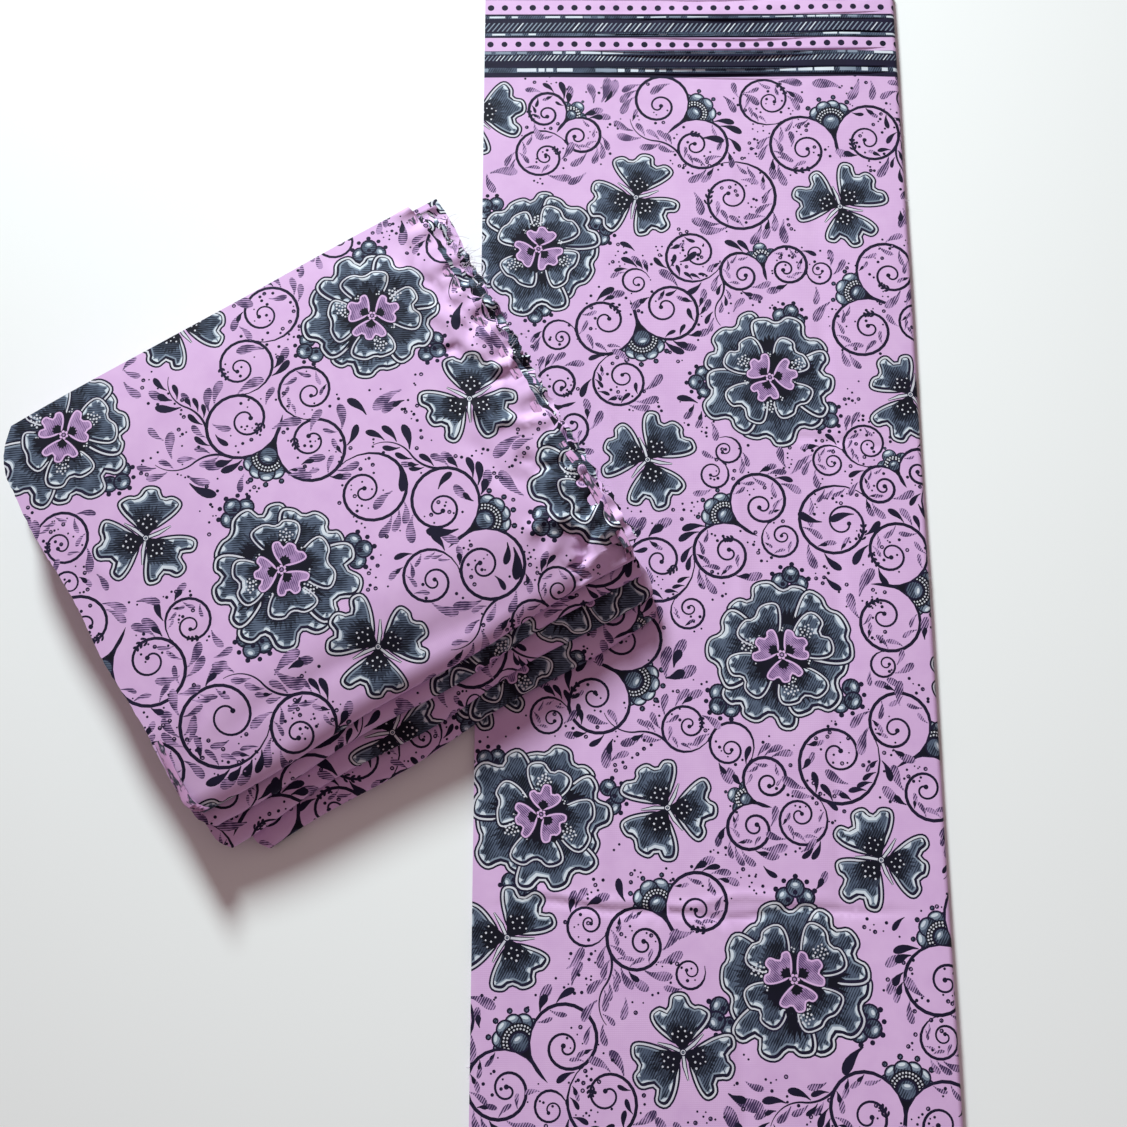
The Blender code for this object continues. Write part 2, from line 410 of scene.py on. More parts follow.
def fan(art, cusp, way, size, scallops):
    """A half flower that opens out of a dark wedge between two scrolls."""
    heart = cusp + way * size * 0.95
    art.fill(NAVY, [cusp, heart + way * -1j * size * 0.66, heart + way * 1j * size * 0.66])
    spread = 156 / (scallops - 1)
    wide = min(0.46, 1.9 / scallops)
    rims = (wide, 18), (wide - 0.06, 16)
    spots = (wide * 0.45, wide * 0.62, wide * 0.34, 12), (wide * 0.55, wide * 0.40, wide * 0.17, 10)
    for k in sorted(range(scallops), key=lambda k: -abs(k - (scallops - 1) / 2)):
        out = way * aim(-78 + spread * k)
        centre = heart + out * size * 0.62
        tip = centre + out * size * (wide + 0.10)
        art.dot(NAVY, tip, size * 0.105, 8)
        if size > 14:
            art.dot(SLATE, tip, size * 0.05, 6)
        bead(art, centre, out, size, rims, spots)
    art.dot(GAP, heart, size * 0.62, 22)
    for reach in (0.42, 0.53):
        count = int(math.radians(200) * size * reach / 2.5)
        for k in range(count):
            out = way * aim(-100 + 200 * k / max(1, count - 1))
            art.dot(PALE, heart + out * size * reach, 0.9, 6)
    bead(art, heart, way, size, *FAN_HEART)


def comma(art, ink, root, way, size, bend, wide=0.38):
    """One leaf, if the cloth is free; solid ones are stouter, and some are solid up to a hatched tip."""
    spine = [root + way * size * complex(t, bend * t * t) for t in (0.30, 0.65, 1.0)]
    if not art.is_free(spine, CLEAR):
        return False
    tipped = art.dice.random()
    if ink == MAUVE or tipped < 0.35:
        leaf(art, MAUVE, root, way, size, size * wide, bend)
    if ink == NAVY:
        leaf(art, NAVY, root, way, size * (0.62 if tipped < 0.35 else 0.90), size * 0.32, bend)
    elif tipped < 0.16:
        leaf(art, NAVY, root, way, size * 0.52, size * 0.23, bend)
    art.take(spine, size * wide / 2 + 0.7)
    return True


def arc_leaves(art, path, side, first, last, length, inks, lean, wide=0.38):
    """Leaves rooted along a stretch of a scroll on its left, or right where side is -1, leaning with it."""
    at, stop = first * (len(path) - 1), last * (len(path) - 1)
    middle, number = (at + stop) / 2, 0
    while at < stop:
        here = min(max(int(at), 1), len(path) - 2)
        along = unit(path[here + 1] - path[here - 1])
        root = path[here] + along * aim(side * 90) * 1.7
        size = length * (1 - 0.30 * abs(at - middle) / (stop - middle)) * art.dice.uniform(0.94, 1.05)
        comma(art, inks[number % len(inks)], root, along * aim(side * lean), size, -0.42 * side, wide)
        at += max(size * wide * 1.2 + 0.6, 5.6) / abs(path[here + 1] - path[here])
        number += 1


def leaf_row(art, start, way, hand, length, count, ink):
    """A row of leaves side by side, without a stem."""
    if not art.is_free([start + way * length * 0.55 * k for k in (1, 2)], CLEAR):
        return
    place = start
    for k in range(count):
        size = length * (1 - 0.07 * k) * art.dice.uniform(0.94, 1.04)
        if not comma(art, ink, place, way * aim(hand * 55), size, -0.42 * hand):
            break
        place += way * (size * 0.42 + 1.5)
        way *= aim(hand * 9)


def scatter(art, centre, spread, count):
    """A loose scatter of dots, the odd one ringed."""
    dice = art.dice
    for k in range(count):
        place = centre + cmath.rect(spread * math.sqrt(dice.random()), dice.uniform(0, 2 * math.pi))
        size = dice.choice((0.8, 1.0, 1.2, 1.5, 1.9))
        if art.is_free([place], CLEAR):
            art.dot(NAVY, place, size, 7 if size < 1.5 else 10)
            if size > 1.5:
                art.dot(MAUVE, place, size * 0.5, 6)
            art.take([place], size + 2.0)


Scroll = namedtuple("Scroll", "path radius hand")


def curl(start, heading, radius, hand, turns):
    """A scroll that runs almost once round a circle, then winds up into a small hook inside it."""
    steps = int((15 + radius / 3.2) * turns)
    turn = 2 * math.pi * turns / steps
    path = [start]
    for k in range(steps):
        done = (k + 0.5) / steps * turns
        bend = radius * (1 - 0.58 * smooth((done - 0.45) / 0.80) - 0.27 * smooth((done - 1.2) / 0.8))
        bend *= 1 + 0.5 * max(0.0, 1 - done / 0.22)
        heading *= cmath.rect(1.0, hand * turn / 2)
        path.append(path[-1] + heading * bend * turn)
        heading *= cmath.rect(1.0, hand * turn / 2)
    return Scroll(path, radius, hand)


def draw_scroll(art, scroll, thick):
    """A scroll's line, thin where it springs, thick along its back and thin at its eye."""
    path, widths = scroll.path, []
    for k in range(len(path)):
        share = k / (len(path) - 1)
        widths.append(thick * (0.30 + 0.70 * smooth(share / 0.12)) * (1 - 0.40 * smooth((share - 0.2) / 0.6)))
    stroke(art, NAVY, path, widths)
    art.dot(NAVY, path[-1], thick * 0.72, 9)
    art.take(path, LINE_ROOM)
    art.take(path, SCROLL_ROOM, CLEAR)


def dress_scroll(art, scroll):
    """Ribs of leaves along the inside of a scroll's first turn, or dots in its eye."""
    path, radius, hand = scroll
    mood = art.dice.random()
    if radius > 13 and mood < 0.78:
        inks = (NAVY,) if mood < 0.12 else (MAUVE,)
        arc_leaves(art, path, hand, 0.05, 0.38, 3.0 + radius * 0.48, inks, 66, 0.31)
    else:
        scatter(art, sum(path[-9:]) / 9, radius * 0.5, 9)


def fringe_scroll(art, scroll):
    """Leaves along the outside of a scroll, dark ones near its root, and now and then thorns on it."""
    path, radius, hand = scroll
    mood = art.dice.random()
    outside = min(26, 14 + radius * 0.34)
    if mood > 0.45:
        arc_leaves(art, path, -hand, 0.03, 0.18, outside, (NAVY,), 46)
    arc_leaves(art, path, -hand, 0.20, 0.50, outside, (MAUVE,) if mood > 0.2 else (NAVY, MAUVE), 50)
    if radius > 17 and art.dice.random() < 0.55:
        at = int(len(path) * art.dice.uniform(0.28, 0.52))
        for k in range(3):
            along = path[at + 1] - path[at]
            for side in (1, -1):
                way = unit(along) * aim(side * 52)
                leaf(art, NAVY, path[at], way, radius * (0.20 - 0.03 * k), 2.2, -0.4 * side)
            at += max(1, int(3.6 / abs(path[at + 1] - path[at])))


def vine(art, start, heading, hand, length):
    """A long gentle S with leaves on both sides, if the cloth is free."""
    path, steps = [start], 26
    for k in range(steps):
        heading *= aim(hand * (4.6 if k < steps * 0.45 else -5.4))
        path.append(path[-1] + heading * length / steps)
    if art.is_free(path[3:] + [p + heading * 1j * s for p in path[5::4] for s in (5, -5)], CLEAR):
        stroke(art, NAVY, path, [2.4 - 1.8 * k / steps for k in range(steps + 1)])
        art.take(path, 2.2)
        inks = art.dice.choice(((MAUVE,), (MAUVE,), (NAVY,), (NAVY, MAUVE)))
        for side, size in ((hand, 0.36), (-hand, 0.26)):
            arc_leaves(art, path, side, 0.10, 0.98, length * size, inks, 50)


def far_enough(place, others, gap):
    return all(abs(place - other) > gap for other in others)


def strew_flowers(art):
    """Rosettes in a loose half drop, and clovers between them."""
    dice, rosettes, clovers = art.dice, [], []
    drop_x, drop_y, low, high = 215.0, 135.0, art.border + 40, art.height - art.border - 40
    for column in range(-1, int(art.width / drop_x) + 2):
        for row in range(-1, int(art.height / (2 * drop_y)) + 2):
            place = complex(52 + column * drop_x, 95 + row * 2 * drop_y + (column % 2) * drop_y)
            place += complex(dice.uniform(-18, 18), dice.uniform(-18, 18))
            if -50 < place.real < art.width + 50 and low < place.imag < high:
                rosettes.append(place)
    for place in rosettes:
        rosette(art, place, dice.uniform(60, 67), aim(dice.uniform(0, 360)))
    for _ in range(1500):
        place = art.anywhere(10, 38)
        if far_enough(place, rosettes, 104) and far_enough(place, clovers, 170):
            clovers.append(place)
            clover(art, place, dice.uniform(43, 47), aim(dice.uniform(0, 360)))


def strew_fans(art):
    """Half flowers, each between a pair of scrolls that spring from its cusp; gives the scrolls."""
    dice, scrolls, cusps = art.dice, [], []
    for size, scallops, apart in ((25, 6, 150), (22, 5, 120), (15, 3, 95)):
        for _ in range(1600):
            cusp = art.anywhere(20, 8)
            way = aim(dice.uniform(0, 360))
            radius = max(17.0, size * dice.uniform(1.05, 1.25))
            turns = dice.uniform(1.95, 2.2)
            pair = [curl(cusp, way * aim(4 * hand), radius, hand, turns) for hand in (1, -1)]
            body = [cusp + way * size * t for t in (0.7, 1.2, 1.7, 2.1)]
            body += [cusp + way * aim(s) * size * 1.75 for s in (-24, 24)]
            if not far_enough(cusp, cusps, apart) or not art.is_free(pair[0].path + pair[1].path + body):
                continue
            cusps.append(cusp)
            fan(art, cusp, way, size, scallops)
            for scroll in pair:
                art.fill(GROUND, scroll.path[:int(len(scroll.path) * 1.02 / turns)])
                draw_scroll(art, scroll, 3.0)
            scrolls += pair
            stem = [cusp + way * -size * t * complex(1, 0.16 * t) for t in (-0.25, 0.1, 0.35, 0.6)]
            stroke(art, NAVY, stem, [3.0, 3.4, 2.4, 0.3])
            art.take(stem, 2.6)
            art.take([cusp + way * size * t for t in (0.9, 1.3)], size * 0.8)
    return scrolls


def branch(art, parent, size, turns):
    """A scroll off an earlier one, if the cloth is free, with the wedge of their fork."""
    dice = art.dice
    at = min(max(int(len(parent.path) * dice.uniform(0.03, 0.42)), 1), len(parent.path) - 2)
    heading = unit(parent.path[at + 1] - parent.path[at - 1])
    backwards = dice.random() < 0.3
    if backwards:
        heading = -heading
    start, hand = parent.path[at], parent.hand if backwards else -parent.hand
    scroll = curl(start, heading, size, hand, turns)
    for clear_of_start, most in ((5.5, CLEAR), (15.0, 0)):
        if not art.is_free([p for p in scroll.path if abs(p - start) > clear_of_start], most):
            return None, []
    side = 1j * heading * hand
    return scroll, [start - heading * 2.2 + side * 0.3, start + heading * 4.5 - side * 1.4,
                    start + heading * 7.5 + side * 0.4, start + heading * 4.5 + side * 1.6]


# Scrolls from large to small: their radius, how many tries stand alone and how many branch off
SCROLL_SIZES = (
    (36, 700, 1400), (30, 500, 2200), (24, 300, 2600), (19, 300, 2600), (15, 300, 1500), (11.5, 200, 500))


def grow_scrolls(art, scrolls):
    """A few loose scrolls, then scrolls that branch off those already there, and vines."""
    dice = art.dice
    for radius, loose, branches in SCROLL_SIZES:
        for k in range(loose + branches):
            size = radius * dice.uniform(0.93, 1.07)
            turns = dice.uniform(1.9, 2.2) if radius > 14 else dice.uniform(1.5, 1.8)
            wedge = []
            if scrolls and k >= loose:
                scroll, wedge = branch(art, dice.choice(scrolls), size, turns)
            else:
                start, hand = art.anywhere(20, 3), dice.choice((1, -1))
                scroll = curl(start, aim(dice.uniform(0, 360)), size, hand, turns)
                if not art.is_free(scroll.path):
                    continue
            if scroll:
                draw_scroll(art, scroll, 1.8 + size * 0.038)
                art.fill(NAVY, wedge)
                scrolls.append(scroll)
        if 18 < radius < 31:
            for _ in range(420):
                path, _, hand = dice.choice(scrolls)
                at = int(len(path) * dice.uniform(0.04, 0.35)) + 1
                heading = unit(path[at + 1] - path[at]) * aim(-18 * hand)
                vine(art, path[at], heading, -hand, dice.uniform(46, 66))


def strew_leaves(art):
    """Rows of leaves, from long to short, where the cloth is still free, and then dots."""
    dice = art.dice
    for length, tries in ((28, 4200), (24, 6500), (20, 9000), (16, 9500)):
        for _ in range(tries):
            root = art.anywhere(0, 2)
            flow = aim(200 * math.sin(root.real / 61 + 1.3) + 160 * math.cos(root.imag / 53))
            hand = dice.choice((1, -1))
            if art.is_free([root, root + flow * length * 0.5], CLEAR):
                count = dice.choice((3, 4, 5, 6))
                leaf_row(art, root, flow, hand, length, count, NAVY if dice.random() < 0.24 else MAUVE)
    for _ in range(1700):
        scatter(art, art.anywhere(0, 2), 9, 7)


def draw_print():
    art = Artwork(PRINT_WIDTH, CLOTH_WIDTH / MM, BORDER, PRINT_SEED)
    strew_flowers(art)
    scrolls = strew_fans(art)
    grow_scrolls(art, scrolls)
    for dress in (dress_scroll, fringe_scroll):
        for scroll in scrolls:
            dress(art, scroll)
    strew_leaves(art)
    draw_border(art, BORDER, -1)
    draw_border(art, art.height - BORDER, 1)
    return art


# The border's stripes: where they start and end, in millimetres from its inner edge, and their ink
STRIPES = (
    (0.0, 17.0, NAVY), (5.0, 10.5, SLATE), (17.0, 24.5, NAVY), (24.5, 28.5, SLATE), (43.0, 45.0, NAVY),
    (45.0, 48.0, SLATE), (48.0, 61.0, NAVY), (61.0, 64.0, NAVY), (64.0, 67.0, SLATE), (67.0, 69.0, NAVY),
    (85.0, 88.0, NAVY), (88.0, 94.0, SLATE), (94.0, 96.5, NAVY),
)
# Uneven pale dashes in the slate stripes, with their share of the length
DASHES = (6.0, 9.6, 0.62), (25.3, 27.8, 0.70), (45.6, 47.5, 0.72), (64.6, 66.5, 0.70), (89.5, 92.5, 0.5)
# Rope bands of slanting ticks, with their pitch and thickness
ROPES = (17.9, 23.6, 3.7, 1.15), (50.0, 59.2, 4.6, 1.4)
DOT_ROWS, DOT_PITCH, DOT_RADIUS = (35.8, 76.0), 13.6, 3.1


def draw_border(art, inner, out):
    """The bands along a selvedge. inner is where they start and out is 1 or -1, up or down the cloth."""
    dice = art.dice
    first, last = -40.0, art.width + 40.0

    def band(start, end, ink, x0=first, x1=last, slant=0.0):
        near, far = (inner + out * start) * 1j, (inner + out * end) * 1j + slant
        art.fill(ink, [x0 + near, x1 + near, x1 + far, x0 + far])

    for stripe in STRIPES:
        band(*stripe)
    for start, end, share in DASHES:
        x = first
        while x < last:
            dash = dice.uniform(5, 22)
            if dice.random() < share:
                band(start, end, SHINE if dice.random() < 0.6 else GREY, x, x + dash)
            x += dash + dice.uniform(1.0, 7.0)
    for start, end, pitch, thick in ROPES:
        x = first
        while x < last:
            band(start, end, SHINE if dice.random() < 0.35 else GREY, x, x + thick, (end - start) * 0.75)
            x += pitch * dice.uniform(0.92, 1.08)
    for middle in DOT_ROWS:
        x = -36.0 + dice.uniform(0, 6)
        while x < last:
            art.dot(NAVY, complex(x, inner + out * middle), DOT_RADIUS * dice.uniform(0.93, 1.06), 14)
            x += DOT_PITCH


# Cutting the print into flat cloth

# How far two points may be from each other to count as one, in millimetres
MERGE = 1e-5
# How far a printed edge may move where fewer lines take its place, and how many lines one may replace
SLACK, MOST_REPLACED = 0.05, 7


def inked_triangles(outline, shapes):
    """Every triangle inside the outline, with the ink that was printed last over it."""
    layers = [(GROUND, outline)] + shapes
    spots, faces = [], []
    for _, points in layers:
        faces.append(list(range(len(spots), len(spots) + len(points))))
        spots.extend(Vector((p.real, p.imag)) for p in points)
    places, _, triangles, _, _, sources = delaunay_2d_cdt(spots, [], faces, 0, MERGE, True)
    flat = np.array([tuple(p) for p in places])
    corners = flat[np.array(triangles)]
    one, two = corners[:, 1] - corners[:, 0], corners[:, 2] - corners[:, 0]
    sizes = np.abs(one[:, 0] * two[:, 1] - one[:, 1] * two[:, 0]) / 2
    total = [0.0] * len(layers)
    for size, source in zip(sizes, sources):
        for index in source:
            total[index] += size
    # an outline that crosses itself lets its ink run out of it, and isn't printed
    spoilt = {k for k in range(1, len(layers)) if total[k] > 1.6 * abs(signed_area(layers[k][1])) + 0.5}
    kept, inks = [], []
    for triangle, source in zip(triangles, sources):
        if 0 in source:
            kept.append(triangle)
            inks.append(layers[max(index for index in source if index not in spoilt)][0])
    return flat, kept, inks


def ink_lines(edges):
    """The edges as chains between the places where more than two meet, then as closed chains."""
    near = {}
    for a, b in edges:
        near.setdefault(a, []).append(b)
        near.setdefault(b, []).append(a)
    done, chains = set(), []
    for start in sorted(near, key=lambda k: len(near[k]) == 2):
        for after in near[start]:
            if (start, after) in done:
                continue
            chain = [start, after]
            done.update(((start, after), (after, start)))
            while len(near[chain[-1]]) == 2 and chain[-1] != start:
                here = chain[-1]
                step = near[here][0] if near[here][0] != chain[-2] else near[here][1]
                done.update(((here, step), (step, here)))
                chain.append(step)
            chains.append(chain)
    return chains


def thinned(chain, flat):
    """The chain without the points that lie within the slack of a straight line past them."""
    spots = [complex(*flat[k]) for k in chain]
    kept, at = [chain[0]], 0

    def is_straight(to):
        way = spots[to] - spots[at]
        offs = (abs(((p - spots[at]).conjugate() * way).imag) for p in spots[at + 1:to])
        return abs(way) >= 0.02 and all(off <= SLACK * abs(way) for off in offs)

    while at < len(chain) - 1:
        to = at + 1
        while to + 1 < len(chain) and to - at < MOST_REPLACED and is_straight(to + 1):
            to += 1
        kept.append(chain[to])
        at = to
    return kept


def cut_cloth(outline, shapes, lines, grid):
    """The cloth's flat mesh: no more triangles than its inks, its fold lines and its grid need."""
    flat, triangles, inks = inked_triangles(outline, shapes)
    side = {}
    for (a, b, c), ink in zip(triangles, inks):
        side[a, b] = side[b, c] = side[c, a] = ink
    edges = [(a, b) for (a, b), ink in side.items()
             if side.get((b, a)) != ink and (a < b or (b, a) not in side)]
    chains = [thinned(chain, flat) for chain in ink_lines(edges)]
    edges = [pair for chain in chains for pair in zip(chain, chain[1:])]
    used = sorted({k for edge in edges for k in edge})
    number = {old: new for new, old in enumerate(used)}
    spots = [Vector(flat[k]) for k in used]
    edges = [(number[a], number[b]) for a, b in edges]
    for line in lines:
        first = len(spots)
        spots.extend(Vector((p.real, p.imag)) for p in line)
        edges.extend((k, k + 1) for k in range(first, len(spots) - 1))
    spots.extend(Vector((p.real, p.imag)) for p in grid)
    places, _, pieces, _, _, _ = delaunay_2d_cdt(spots, edges, [], 0, MERGE, False)
    finder = BVHTree.FromPolygons([(x, y, 0.0) for x, y in flat], triangles)
    down = Vector((0.0, 0.0, -1.0))
    kept, kept_inks = [], []
    for a, b, c in pieces:
        centre = (places[a] + places[b] + places[c]) / 3
        hit = finder.ray_cast(Vector((centre.x, centre.y, 1.0)), down, 2.0)[2]
        if hit is not None:
            kept.append((a, b, c))
            kept_inks.append(inks[hit])
    return np.array([tuple(p) for p in places]), kept, kept_inks


# The cloth's form


def smoothly(share):
    """0 to 1 with level ends, for arrays."""
    share = np.clip(share, 0.0, 1.0)
    return share * share * (3.0 - 2.0 * share)


def from_bundle(x, y):
    """Distance in plan from the bundle's footprint, 0 inside it."""
    east, north = x - BUNDLE_X, y - BUNDLE_Y
    along = east * math.cos(BUNDLE_TURN) + north * math.sin(BUNDLE_TURN)
    across = east * math.sin(BUNDLE_TURN) - north * math.cos(BUNDLE_TURN)
    past_end = np.maximum(0.0, np.abs(along) - BUNDLE_LENGTH / 2)
    past_side = np.maximum(0.0, np.abs(across) - BUNDLE_DEPTH / 2)
    return np.hypot(past_end, past_side)


def lay_band(along, across, height):
    """Points of the laid-out length, with its swellings."""
    rise = sum(s.rise * np.exp(-(((across - s.x) / s.half_x) ** 2) - ((along - s.y) / s.half_y) ** 2)
               for s in SWELLS)
    rise = rise * smoothly((from_bundle(across, along) - PRESSED) / (FREE - PRESSED))
    return across, along, height * (1.0 + rise / BAND_THICK)


def droop(out):
    """Share of height lost this far from the bundle's middle."""
    return DROOP * np.clip((out - DROOP_STARTS) / (DROOP_ENDS - DROOP_STARTS), 0.0, 1.2) ** 2


def lay_bundle(along, across, height):
    """Points of the bundle, which droops towards its edges and rides up on the laid-out length."""
    x = BUNDLE_X + along * math.cos(BUNDLE_TURN) + across * math.sin(BUNDLE_TURN)
    y = BUNDLE_Y + along * math.sin(BUNDLE_TURN) - across * math.cos(BUNDLE_TURN)
    ramp_end = -BAND_WIDTH / 2 - RAMP_CLEAR
    ride = (BAND_THICK + FOLD_GAP) * smoothly((x - ramp_end + RAMP_RUN) / RAMP_RUN)
    return x, y, height * (1.0 - droop(np.abs(along)) - droop(np.abs(across))) + ride


# The top ply sinks towards its rounded edge by this much, over this run
SOFT_EDGE, SOFT_RUN = 0.0055, 0.085
# Its front corners are rounded over this run, by so much at the left and the right end
TIP_RUN, LEFT_TIP, RIGHT_TIP = 0.016, 0.009, 0.005
# Its raw right end is ruffled over this run, by so much in height and in plan
RUFFLE_RUN, RUFFLE_RISE, RUFFLE_OUT = 0.028, 0.0040, 0.0022

# Soft troughs and ridges: a line from one place to another, its height and its half width
Crease = namedtuple("Crease", "x0 y0 x1 y1 rise half")
# On the laid-out length, in its own x and y
LENGTH_CREASES = (
    Crease(-0.200, -0.291, 0.190, -0.299, -0.0011, 0.0040),
    Crease(-0.190, -0.283, 0.120, -0.287, 0.0008, 0.0045),
    Crease(0.035, 0.500, 0.028, -0.250, 0.0006, 0.0060),
    Crease(0.028, -0.320, 0.022, -0.560, -0.0006, 0.0060),
    Crease(0.118, 0.430, 0.108, -0.500, -0.0007, 0.0070),
    Crease(-0.080, 0.380, -0.095, -0.560, 0.0005, 0.0080),
    Crease(0.060, 0.130, 0.190, 0.105, -0.0006, 0.0050),
    Crease(-0.060, 0.540, 0.110, 0.565, 0.0010, 0.0110),
)
# On the bundle, across x and along y from its middle
BUNDLE_CREASES = (
    Crease(-0.150, 0.165, 0.020, 0.190, 0.0022, 0.0090),
    Crease(-0.120, 0.190, 0.040, 0.150, -0.0016, 0.0070),
    Crease(-0.060, 0.205, 0.110, 0.175, 0.0024, 0.0080),
    Crease(0.020, 0.130, 0.160, 0.190, -0.0014, 0.0090),
    Crease(0.100, 0.205, 0.190, 0.140, 0.0020, 0.0080),
    Crease(0.150, -0.180, 0.185, 0.120, -0.0012, 0.0110),
    Crease(-0.100, -0.190, 0.100, -0.175, 0.0008, 0.0100),
    Crease(0.060, -0.120, 0.170, -0.195, -0.0010, 0.0080),
    Crease(-0.160, 0.186, -0.020, 0.196, -0.0024, 0.0055),
    Crease(-0.110, 0.204, 0.060, 0.190, 0.0020, 0.0050),
    Crease(-0.050, 0.160, 0.030, 0.208, -0.0028, 0.0060),
    Crease(0.015, 0.145, 0.075, 0.212, 0.0026, 0.0060),
    Crease(0.075, 0.172, 0.135, 0.214, -0.0028, 0.0060),
    Crease(0.135, 0.140, 0.168, 0.210, 0.0034, 0.0080),
    Crease(0.148, 0.212, 0.205, 0.186, 0.0062, 0.0080),
    Crease(0.160, 0.186, 0.212, 0.164, -0.0050, 0.0060),
    Crease(0.120, 0.222, 0.165, 0.196, -0.0036, 0.0050),
    Crease(-0.155, 0.110, -0.100, 0.190, 0.0016, 0.0070),
)


def ruffle(across):
    """The waves of the bundle's raw right end, from about -1 to 1, uneven in length and height."""
    slow = np.sin(2 * math.pi * across / 0.036 + 1.0 + 1.6 * np.sin(across * 41.0))
    fast = np.sin(2 * math.pi * across / 0.019 + 0.5 + 1.1 * np.sin(across * 67.0))
    return (0.65 * slow + 0.35 * fast) * (0.75 + 0.25 * np.sin(across * 29.0 + 2.0))


def creased(x, y, creases):
    """Height that the creases add at these places."""
    total = np.zeros_like(x)
    for c in creases:
        run_x, run_y = c.x1 - c.x0, c.y1 - c.y0
        length = math.hypot(run_x, run_y)
        share = ((x - c.x0) * run_x + (y - c.y0) * run_y) / length ** 2
        off = ((x - c.x0) * run_y - (y - c.y0) * run_x) / length
        off = off + 0.004 * np.sin(share * 9.0 + 30 * c.x0) + 0.002 * np.sin(share * 23.0 + 50 * c.y0)
        fade = smoothly(share / 0.25) * smoothly((1.0 - share) / 0.25)
        total += c.rise * fade * np.exp(-((off / c.half) ** 2))
    return total


class Ply:
    """The outer ply of one fold: over its top, round its rounded edge and back underneath.

    Flat cloth is measured in metres: over runs across the fold, 0 where its edge starts to
    round, and along runs with the rounded edge.
    """

    def __init__(self, fold, floor, lay):
        self.fold, self.floor, self.lay = fold, floor, lay
        self.turn_at = fold.front - fold.reach
        self.angles = np.linspace(math.pi / 2, -math.pi / 2, 61)
        across, height = fold.reach * np.cos(self.angles), fold.thick / 2 * np.sin(self.angles)
        self.run = np.concatenate([[0.0], np.cumsum(np.hypot(np.diff(across), np.diff(height)))])
        self.round = float(self.run[-1])

    def section(self, over):
        """Across and height of the fold's own section."""
        angle = np.interp(over, self.run, self.angles)
        across = self.turn_at + np.minimum(over, 0.0) + self.fold.reach * np.cos(angle)
        across = across - np.maximum(over - self.round, 0.0)
        return across, self.floor + self.fold.thick / 2 * (1.0 + np.sin(angle))

    def ends(self, across):
        """Where the two cut ends lie, along the fold."""
        fold = self.fold
        wave = fold.end_wave * np.sin(2 * math.pi * across / END_WAVE_LENGTH + 40 * fold.front)
        near = np.clip(1.0 - (across - fold.back) / CORNER_RUN, 0.0, 1.2)
        tip = np.clip((across - fold.front) / TIP_RUN + 1.0, 0.0, 1.0) ** 2
        left = fold.left + fold.left_skew * across + wave + fold.corner * near ** 2 + LEFT_TIP * tip
        return left, fold.right + fold.right_skew * across + wave - RIGHT_TIP * tip

    def back(self, along):
        """Where the back edge lies, as over, on the top."""
        return self.fold.back + self.fold.back_skew * along - self.turn_at

    def corners(self):
        """Where the cut ends meet the back edge, along the fold."""
        low, high = self.ends(self.fold.back)
        for _ in range(5):
            low = self.ends(self.back(low) + self.turn_at)[0]
            high = self.ends(self.back(high) + self.turn_at)[1]
        return float(low), float(high)

    def width(self):
        """The sheet's flat width, over the fold, round its edge and back underneath."""
        return self.round - 2 * float(self.back(0.0))

    def place(self, along, over):
        """World points of flat cloth."""
        fold = self.fold
        across, height = self.section(over)
        wave = fold.edge_wave * np.sin(2 * math.pi * along / EDGE_WAVE_LENGTH + 60 * fold.front)
        depth = (across - fold.back) / (fold.front - fold.back)
        above = smoothly((height - self.floor) / fold.thick)
        near_end = smoothly((along - fold.right + RUFFLE_RUN) / RUFFLE_RUN) * above * (fold is TOP_FOLD)
        out = RUFFLE_OUT * ruffle(1.2 * across + 0.05) * near_end
        x, y, z = self.lay(along + out, across + wave * depth ** 3, height)
        if fold is LAID_LENGTH:
            z = z + creased(across, along, LENGTH_CREASES) * above
        elif fold is TOP_FOLD:
            z = z - SOFT_EDGE * smoothly((across - fold.front + SOFT_RUN) / SOFT_RUN) * above
            z = z + creased(across, along, BUNDLE_CREASES) * above + RUFFLE_RISE * ruffle(across) * near_end
        return np.stack([x, y, z], axis=-1)


# Where a stretch's flat cloth lies on the print: the print's own place at over 0 and along 0,
# in millimetres, and how far the cloth is turned on it
Window = namedtuple("Window", "x y turn")
BUNDLE_WINDOWS = (Window(320, 700, 20), Window(620, 360, 200), Window(560, 620, 90), Window(800, 560, 8))

# Raw plies that step out from under the top fold's right end: how far past it they reach at the
# back and at the rounded edge, their height on the second fold where they start and end, and
# their place on the print, in rows of large flowers
Loose = namedtuple("Loose", "number at_back at_front starts ends window")
LOOSE_PLIES = (
    Loose(0, 0.0240, 0.0040, 0.0045, 0.0012, Window(560, 367, 29)),
    Loose(1, 0.0185, 0.0075, 0.0085, 0.0042, Window(605, 684, 32)),
    Loose(2, 0.0130, 0.0030, 0.0120, 0.0080, Window(728, 498, 35)),
    Loose(3, 0.0065, 0.0050, 0.0155, 0.0120, Window(853, 840, 31)),
)
LOOSE_HIDDEN = 0.016


